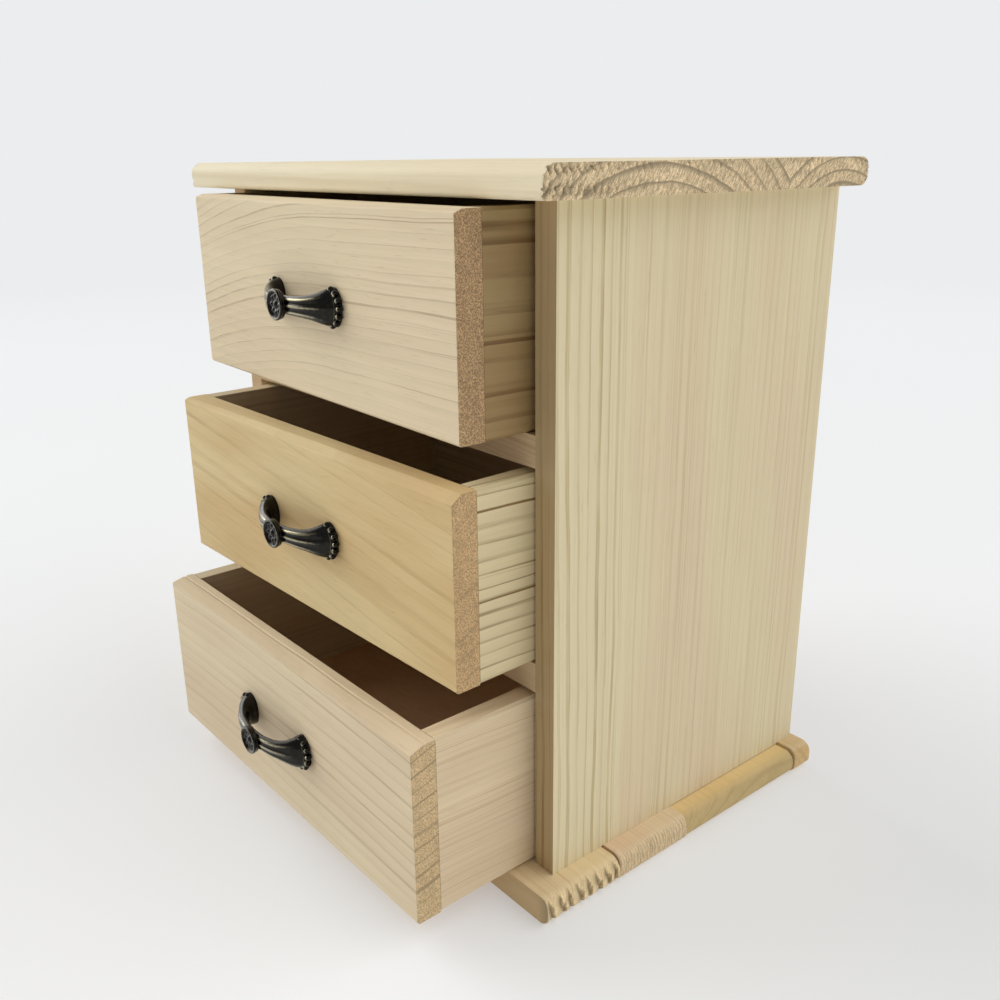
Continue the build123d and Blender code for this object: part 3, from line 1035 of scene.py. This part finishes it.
@dataclass(frozen=True)
class Handle:
    """A cast handle: two flared feet with scalloped rims, a fluted arch and a round medallion."""

    pitch: float = 40.0
    reach: float = 12.6
    crest_back: float = 2.6
    foot_height: float = 13.2
    foot_width: float = 9.6
    waist_height: float = 6.5
    arch_thickness: float = 3.4
    flutes: int = 3
    flute_depth: float = 0.34
    lobes: int = 7
    lobe_sweep: float = 168.0
    lobe: tuple[float, float, float] = (2.1, 1.45, 1.12)
    lobe_place: Pair = (-0.4, -1.1)
    lobe_inset: float = 1.5
    lobe_tilt: float = -26.0
    lip: float = 0.36
    lip_inset: float = 1.2
    lip_rise: float = 2.3
    lip_start: float = 100.0
    petals: int = 8
    petal_rise: float = 0.26
    petal_level: float = 11.0
    rim_level: float = 12.2
    # radius and reach of the rings of petals and rim, and the boss in their middle
    petal_ring: Pair = (2.9, 1.3)
    rim_ring: Pair = (4.85, 0.5)
    boss: float = 1.3
    # share of the way in and of the rise, turn, and the flares of width and height that are left
    stations: tuple[tuple[float, ...], ...] = (
        (0.00, 0.00, 0.0, 1.00, 1.00),
        (0.02, 0.14, 9.0, 0.90, 0.93),
        (0.05, 0.30, 22.0, 0.70, 0.80),
        (0.11, 0.44, 38.0, 0.40, 0.62),
        (0.18, 0.56, 52.0, 0.19, 0.42),
        (0.29, 0.69, 63.0, 0.08, 0.23),
        (0.42, 0.80, 72.0, 0.03, 0.12),
        (0.57, 0.87, 79.0, 0.01, 0.05),
        (0.72, 0.93, 84.0, 0.00, 0.00),
        (0.88, 0.95, 88.0, 0.00, 0.00),
        (1.00, 0.96, 90.0, 0.00, 0.00),
    )
    # radius and how far it stands out, from the middle of the medallion's face to its back
    face: tuple[Pair, ...] = (
        (0.0, 12.45), (0.55, 12.40), (1.05, 12.20), (1.40, 11.85), (1.60, 11.70), (1.95, 11.85),
        (2.40, 12.02), (2.90, 12.06), (3.40, 11.98), (3.85, 11.80), (4.05, 11.70), (4.20, 11.95),
        (4.40, 12.40), (4.70, 12.60), (5.05, 12.58), (5.30, 12.38), (5.40, 12.05), (5.32, 11.60),
        (5.10, 11.35), (5.18, 10.95), (5.05, 10.45), (4.60, 10.10), (3.80, 9.90), (0.0, 9.85),
    )

    def section(self, mesh: bmesh.types.BMesh, station: tuple[float, ...]) -> list[bmesh.types.BMEdge]:
        """Add one fluted section of the arch.

        Args:
            mesh: The bmesh.
            station: The section's row of the stations.

        Returns:
            The section's edges.
        """
        inward, rise, turn, wide, tall = station
        half_thick = (self.arch_thickness + (self.foot_width - self.arch_thickness) * wide) / 2
        half_tall = (self.waist_height + (self.foot_height - self.waist_height) * tall) / 2
        ring = bmesh.ops.create_circle(mesh, cap_ends=False, segments=64, radius=1.0)["verts"]
        layer = mesh.verts.layers.float["worn_and_sheen"]
        angle = math.radians(turn)
        across = Vector((math.cos(angle), -math.sin(angle), 0))
        start = Vector((self.pitch / 2 * (1 - inward), -(self.reach - self.crest_back) * rise, 0))
        for vert in ring:
            out, up = vert.co.x, vert.co.y
            outer = max(0.0, out)
            flute = math.cos(up * math.pi * self.flutes)
            deep = self.flute_depth * (0.5 - 0.5 * flute) * outer**0.5 * min(1.0, rise * 1.6)
            lift = Vector((0, 0, up * (half_tall - deep * 0.4)))
            vert.co = start + across * (out * (half_thick - deep)) + lift
            # Brass share: real rub on the flute ridges, plus a painted highlight on the side that faces the
            # front, stronger towards the medallion.
            ridge = (0.5 + 0.5 * flute) ** 1.5
            vert[layer] = ridge * min(1.0, 0.3 + outer) * 1.2 * rise
        return edges_of(ring)

    def arch(self, mesh: bmesh.types.BMesh) -> None:
        """Add the right half of the arch.

        Args:
            mesh: The bmesh.
        """
        rings = [self.section(mesh, station) for station in self.stations]
        for first, last in zip(rings, rings[1:]):
            bmesh.ops.bridge_loops(mesh, edges=first + last)
        bmesh.ops.contextual_create(mesh, geom=rings[0])

    def scallops(self, mesh: bmesh.types.BMesh) -> None:
        """Add the lobes round the outer rim of the right foot.

        Args:
            mesh: The bmesh.
        """
        layer = mesh.verts.layers.float["worn_and_sheen"]
        middle = Vector((self.pitch / 2 + self.lobe_place[0], self.lobe_place[1], 0))
        half_wide = self.foot_width / 2
        half_tall = self.foot_height / 2 - self.lobe_inset
        for step in range(self.lobes):
            angle = math.radians(self.lobe_sweep * (step / (self.lobes - 1) - 0.5))
            rim = Vector((half_wide * math.cos(angle), 0, half_tall * math.sin(angle)))
            place = (
                Matrix.Translation(middle + rim)
                @ Matrix.Rotation(-angle, 4, "Y")
                @ Matrix.Rotation(math.radians(self.lobe_tilt), 4, "Z")
                @ Matrix.Diagonal((*self.lobe, 1.0))
            )
            ball = bmesh.ops.create_uvsphere(mesh, u_segments=18, v_segments=12, radius=1.0)["verts"]
            # Brass on the front of each lobe: rub, plus a painted highlight.
            for vert in ball:
                vert[layer] = 1.5 * max(0.0, -vert.co.y) ** 1.4
            bmesh.ops.transform(mesh, matrix=place, verts=ball)
            for vert in ball:
                vert.co.y = min(vert.co.y, 0.0)

    def bead(self, mesh: bmesh.types.BMesh) -> None:
        """Add the raised lip inside the lobes of the right foot.

        Args:
            mesh: The bmesh.
        """
        layer = mesh.verts.layers.float["worn_and_sheen"]
        wide = self.foot_width / 2 - self.lip_inset
        tall = self.foot_height / 2 - self.lip_inset
        ring = bmesh.ops.create_circle(mesh, cap_ends=False, segments=12, radius=self.lip)["verts"]
        edges = edges_of(ring)
        bmesh.ops.translate(mesh, vec=(wide, 0, 0), verts=ring)
        bmesh.ops.rotate(mesh, matrix=Matrix.Rotation(math.radians(self.lip_start), 3, "Y"), verts=ring)
        turn_round(mesh, ring + edges, -2 * self.lip_start, 36, False)
        for vert in joined_to(ring[0]):
            # Brass on the front of the lip: rub, plus a painted highlight.
            vert[layer] = 0.7 * max(0.0, -vert.co.y / self.lip) ** 2
            vert.co.x += self.pitch / 2
            vert.co.z *= tall / wide
            vert.co.y -= self.lip_rise

    def rosette(self, mesh: bmesh.types.BMesh) -> None:
        """Add the medallion, with petals round a boss inside its rim.

        Args:
            mesh: The bmesh.
        """
        profile = [mesh.verts.new((radius, -out, 0)) for radius, out in self.face]
        edges = [mesh.edges.new(pair) for pair in zip(profile, profile[1:])]
        turn_round(mesh, profile + edges, 360.0, 64, True)
        disc = joined_to(profile[0])
        layer = mesh.verts.layers.float["worn_and_sheen"]
        for vert in disc:
            radius = math.hypot(vert.co.x, vert.co.z)
            out = -vert.co.y
            ring = near(abs(radius - self.petal_ring[0]), self.petal_ring[1])
            petal = math.cos(math.atan2(vert.co.z, vert.co.x) * self.petals)
            if out > self.petal_level:
                vert.co.y -= self.petal_rise * petal * ring
            rim = near(abs(radius - self.rim_ring[0]), self.rim_ring[1]) * (out > self.rim_level)
            # Brass on the rim, the petal tips and the boss: rub, plus painted highlights.
            vert[layer] = max(0.95 * rim, 0.3 * ring * max(0.0, petal), 0.35 * near(radius, self.boss))
        bmesh.ops.remove_doubles(mesh, verts=disc, dist=0.01)

    def build(self, drawer: str, place: Matrix) -> bpy.types.Object:
        """Build the handle.

        Args:
            drawer: The drawer's name.
            place: Where the middle of the drawer's face lies, in metres.

        Returns:
            The piece.
        """
        mesh = bmesh.new()
        mesh.verts.layers.float.new("worn_and_sheen")
        self.arch(mesh)
        self.scallops(mesh)
        self.bead(mesh)
        half = [*mesh.verts, *mesh.edges, *mesh.faces]
        bmesh.ops.mirror(mesh, geom=half, axis="X", merge_dist=0.01)
        self.rosette(mesh)
        piece = settle(f"{drawer}_handle_cast", mesh, place, BRONZE, 50.0)
        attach(piece, f"{drawer}_drawer")
        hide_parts(f"{drawer}_drawer_handle")
        return piece


@dataclass(frozen=True)
class Drawer:
    """A drawer: its front with an uneven hand-eased top edge, its handle and its box."""

    name: str
    askew: float
    front: Pine
    right: Pine
    left: Pine
    bevel_depth: Pair
    bevel_drop: Pair
    ridge: float = 0.0
    width: float = 176.2
    thick: float = 9.6
    under_bevel: float = 0.8
    edge_round: float = 0.22
    slices: int = 70
    # how far the hand-eased edge wanders down and back
    waver: Pair = (0.4, 0.5)
    handle: Handle = Handle()

    def place(self) -> Matrix:
        """Give the frame in the middle of the front, in metres."""
        turn = Matrix.Rotation(math.radians(self.askew), 4, "Z")
        return Matrix.Translation(middle_of(f"{self.name}_drawer_front")) @ turn

    def outline(self, half_tall: float) -> list[Pair]:
        """Give the front's section in Y and Z, as wide as its bevel is at the left end.

        Args:
            half_tall: Half the front's height.

        Returns:
            Points in millimetres, round the section.
        """
        half = self.thick / 2
        start = -half + self.bevel_depth[0]
        bevel = [(start, half_tall)]
        if self.ridge:
            bevel = [
                (start + self.ridge, half_tall),
                (start + self.ridge - 0.35, half_tall - 0.4),
                (start, half_tall - 0.12),
            ]
        return [
            (-half, -half_tall + self.under_bevel),
            (-half + self.under_bevel, -half_tall),
            (half, -half_tall),
            (half, half_tall),
            *bevel,
            (-half, half_tall - self.bevel_drop[0]),
        ]

    def build_front(self) -> bpy.types.Object:
        """Build the front.

        Returns:
            The piece.
        """
        low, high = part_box(f"{self.name}_drawer_front")
        half_tall = (high.z - low.z) / MM / 2
        mesh = bmesh.new()
        ring = [mesh.verts.new((-self.width / 2, y, z)) for y, z in self.outline(half_tall)]
        end = bmesh.ops.contextual_create(mesh, geom=ring)["faces"]
        made = bmesh.ops.extrude_face_region(mesh, geom=end, use_keep_orig=True)["geom"]
        moved = [item for item in made if isinstance(item, bmesh.types.BMVert)]
        bmesh.ops.translate(mesh, vec=(self.width, 0, 0), verts=moved)
        bmesh.ops.recalc_face_normals(mesh, faces=mesh.faces)
        ease(mesh, list(mesh.edges), self.edge_round, 2)
        lengthways = edges_where(mesh, 0, lambda at: True)
        bmesh.ops.subdivide_edges(mesh, edges=lengthways, cuts=self.slices, use_grid_fill=True)
        half = self.thick / 2
        (depth_left, depth_right), (drop_left, drop_right) = self.bevel_depth, self.bevel_drop
        for vert in mesh.verts:
            share = vert.co.x / self.width + 0.5
            wave = noise.noise(Vector((vert.co.x * 0.03, self.askew, 0.0)))
            drop = drop_left + (drop_right - drop_left) * share
            depth = depth_left + (depth_right - depth_left) * share
            if vert.co.y < -half + 0.5 and vert.co.z > half_tall - drop_left - 1.0:
                vert.co.z -= drop - drop_left + wave * self.waver[0]
            elif vert.co.z > half_tall - 0.5 and vert.co.y < half - 0.6:
                vert.co.y = min(half - 0.8, vert.co.y + depth - depth_left + wave * self.waver[1])
        finish = self.front.material(middle_of(f"{self.name}_drawer_front"), self.askew)
        piece = settle(f"{self.name}_drawer_front_eased", mesh, self.place(), finish, 12.0)
        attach(piece, f"{self.name}_drawer")
        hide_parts(f"{self.name}_drawer_front")
        return piece

    def build(self) -> None:
        """Build the front and the handle, and dress the box."""
        self.build_front()
        self.handle.build(self.name, self.place() @ Matrix.Translation((0, -self.thick / 2 * MM, 0)))
        start = f"{self.name}_drawer_"
        stave = Stave((50.0, 20.0), 3.4, (0.0, 0.03))
        boards = {
            "right_side": self.right,
            "left_side": self.left,
            "back": Pine(start + "back_pine", Grain.ACROSS, stave, seed=self.askew + 30),
            "bottom": Veneer(start + "bottom_veneer", Grain.ACROSS),
        }
        for node, finish in boards.items():
            dress(start + node, finish.material(middle_of(start + node), self.askew))
        dress(start + "dowels", bpy.data.materials["dowel_beech"])
        dress(start + "brads", STEEL)
        dress(start + "handle_screws", STEEL)


@dataclass(frozen=True)
class Window:
    """Soft daylight from one side: where it comes from, how wide it is and how strong."""

    name: str
    source: tuple[float, float, float]
    width: float
    strength: float
    tint: Colour = (1.0, 0.98, 0.95)

    def shine(self) -> None:
        """Add the light."""
        data = bpy.data.lights.new(self.name, "SUN")
        data.angle = math.radians(self.width)
        data.energy = self.strength
        data.color = self.tint
        add(self.name, data).rotation_euler = (-Vector(self.source)).to_track_quat("-Z", "Y").to_euler()


@dataclass(frozen=True)
class Studio:
    """The pale floor, the soft light and the camera."""

    spot: tuple[float, float, float] = (0.31444, -0.26342, 0.24761)
    heading: float = 50.51
    dip: float = 18.77
    roll: float = -0.69
    lens: float = 36.733
    floor_reach: float = 12.0
    sky: Colour = (0.97, 0.985, 1.0)
    backdrop: float = 0.86
    walls: float = 0.72
    dim: float = 0.36
    ceiling: float = 0.36
    glow: float = 0.34
    lift: float = 0.93
    near: float = 0.6
    far: float = 2.0
    # where the surroundings change from dim to pale, and from walls to ceiling
    wall_rise: Pair = (-0.1, 0.6)
    ceiling_rise: Pair = (0.12, 0.35)
    windows: tuple[Window, ...] = (
        Window("window_left", (-2.2, -1.0, 1.4), 56.0, 2.05),
        Window("window_right_rear", (0.72, 0.68, 0.9), 64.0, 1.35),
    )

    def floor(self) -> bpy.types.Object:
        """Make the floor.

        Returns:
            The floor.
        """
        mesh = bmesh.new()
        bmesh.ops.create_grid(mesh, x_segments=2, y_segments=2, size=self.floor_reach)
        data = bpy.data.meshes.new("floor")
        mesh.to_mesh(data)
        mesh.free()
        sh = Shader.named("pale_floor")
        place = sh.place()
        haze = sh.cloud(place, 2.0)
        colour = sh.tint(haze, rgb(242, 243, 245), rgb(246, 247, 248))
        inputs = {"Base Color": colour, "Roughness": 0.55 + 0.1 * haze, "Specular IOR Level": 0.2}
        matt = sh.node("BsdfPrincipled", {}, inputs)
        distance = sh.node("VectorMath", {"operation": "LENGTH"}, {0: place}, "Value")
        away = sh.rise(distance, self.near, self.far)
        strength = sh.blend(away, self.lift, self.backdrop)
        glow = sh.node("Emission", {}, {"Color": (*self.sky, 1.0), "Strength": strength})
        surface = sh.node("MixShader", {}, {0: sh.blend(away, self.glow, 1.0), 1: matt, 2: glow})
        sh.node("OutputMaterial", {}, {"Surface": surface})
        data.materials.append(sh.owner)
        piece = add("floor", data)
        return piece

    def surround(self) -> None:
        """Light the surroundings: pale walls behind the chest, dimmer ones before it and a dim ceiling.

        The backdrop that is seen past the chest is the same pale tone all round.
        """
        world = bpy.data.worlds.new("studio")
        sh = Shader(world)
        head = math.radians(self.heading)
        way = sh.place("Generated")
        behind = sh.rise(sh.dot(way, (-math.sin(head), math.cos(head), 0.0)), *self.wall_rise)
        above = sh.rise(sh.part(way, 2), *self.ceiling_rise)
        strength = sh.blend(above, sh.blend(behind, self.dim, self.walls), self.ceiling)
        seen = sh.node("LightPath", {}, {}, "Is Camera Ray")
        strength = sh.blend(seen, strength, self.backdrop)
        light = sh.node("Background", {}, {"Color": (*self.sky, 1.0), "Strength": strength})
        sh.node("OutputWorld", {}, {"Surface": light})
        bpy.context.scene.world = world

    def camera(self) -> None:
        """Set the camera up where the photograph was taken."""
        head, dip, roll = (math.radians(angle) for angle in (self.heading, self.dip, self.roll))
        ahead = Vector((-math.sin(head) * math.cos(dip), math.cos(head) * math.cos(dip), -math.sin(dip)))
        level = Vector((math.cos(head), math.sin(head), 0))
        above = level.cross(ahead)
        right = level * math.cos(roll) + above * math.sin(roll)
        up = above * math.cos(roll) - level * math.sin(roll)
        data = bpy.data.cameras.new("camera")
        data.lens = self.lens
        data.sensor_width = 36.0
        data.clip_start = 0.01
        piece = add("camera", data)
        turn = Matrix((right, up, -ahead)).transposed().to_4x4()
        piece.matrix_world = Matrix.Translation(self.spot) @ turn
        bpy.context.scene.camera = piece

    def build(self) -> None:
        """Set the whole studio up."""
        self.floor()
        self.surround()
        for window in self.windows:
            window.shine()
        self.camera()
        bpy.context.scene.view_settings.view_transform = "Standard"


BRONZE = Bronze().material()
STEEL = Steel().material()


def drawers() -> list[Drawer]:
    """Describe the three drawers.

    Returns:
        The drawers, lowest first.
    """
    lower = Drawer(
        "lower", 0.3442,
        front=Pine(
            "lower_front_pine", Grain.ACROSS,
            Stave((-27.0, 112.0), 5.2, (0.0, 0.05), 0.8, 0.6, (0.0003, 60.0)),
            pale=rgb(226, 209, 175), late=rgb(170, 146, 108), end=rgb(214, 186, 142),
            uneven=0.4, thin=0.84, quiet_top=0.85, fade=(-70.0, 40.0), rings=0.9, rasp=0.7, seed=21.0,
        ),
        right=Pine(
            "lower_right_wall_pine", Grain.BACK, Stave((70.0, 130.0), 2.3, (0.0, 0.06), 0.6, 0.6),
            pale=rgb(228, 208, 172), late=rgb(184, 152, 112), thin=0.66, seed=22.0,
        ),
        left=Pine("lower_left_wall_pine", Grain.BACK, seed=23.0),
        bevel_depth=(5.0, 5.0), bevel_drop=(1.5, 2.0), ridge=1.4,
    )
    middle = Drawer(
        "middle", 1.4967,
        front=Pine(
            "middle_front_pine", Grain.ACROSS, Stave((-40.0, 90.0), 6.6, (0.0, 0.16), 0.5, 0.9),
            pale=rgb(223, 201, 150), late=rgb(176, 142, 90), rosy=rgb(208, 176, 122),
            end=rgb(206, 172, 126), thin=0.72, quiet_top=0.9, rings=0.3, rasp=0.8, seed=24.0,
        ),
        right=Pine(
            "middle_right_wall_pine", Grain.BACK, Stave((60.0, 90.0), 3.9, (0.0, 0.05), 1.5, 0.2),
            pale=rgb(222, 206, 163), late=rgb(130, 104, 60), uneven=0.45, thin=0.68, seed=25.0,
        ),
        left=Pine("middle_left_wall_pine", Grain.BACK, seed=26.0),
        bevel_depth=(2.2, 4.0), bevel_drop=(1.0, 2.9),
    )
    upper = Drawer(
        "upper", -1.4967,
        front=Pine(
            "upper_front_pine", Grain.ACROSS,
            Stave((-40.0, -96.0), 3.6, (0.0, -0.025), 0.8, 0.35, (0.0014, 10.0)),
            pale=rgb(228, 211, 176), late=rgb(166, 142, 106), end=rgb(194, 160, 118),
            uneven=0.8, thin=0.84, quiet_top=0.85, rings=0.15, rasp=1.05, seed=27.0,
        ),
        right=Pine(
            # painted shade: these colours are far darker than the other walls, standing in for the shade
            # under the top and beside the side panel; the bands are the wood's grain
            "upper_right_wall_pine_painted_shade", Grain.BACK, Stave((-20.0, 40.0), 8.0, (0.0, 0.02), 1.0, 0.6),
            pale=rgb(166, 142, 98), late=rgb(104, 72, 34), rosy=rgb(152, 122, 78), thin=0.4, seed=28.0,
        ),
        left=Pine("upper_left_wall_pine", Grain.BACK, seed=29.0),
        bevel_depth=(3.0, 3.0), bevel_drop=(1.2, 1.2),
    )
    return [lower, middle, upper]


def main() -> None:
    """Build the chest in order."""
    Carcass().build()
    Base().build()
    TopBoard().build()
    for drawer in drawers():
        drawer.build()
    Studio().build()


if __name__ == "__main__":
    main()
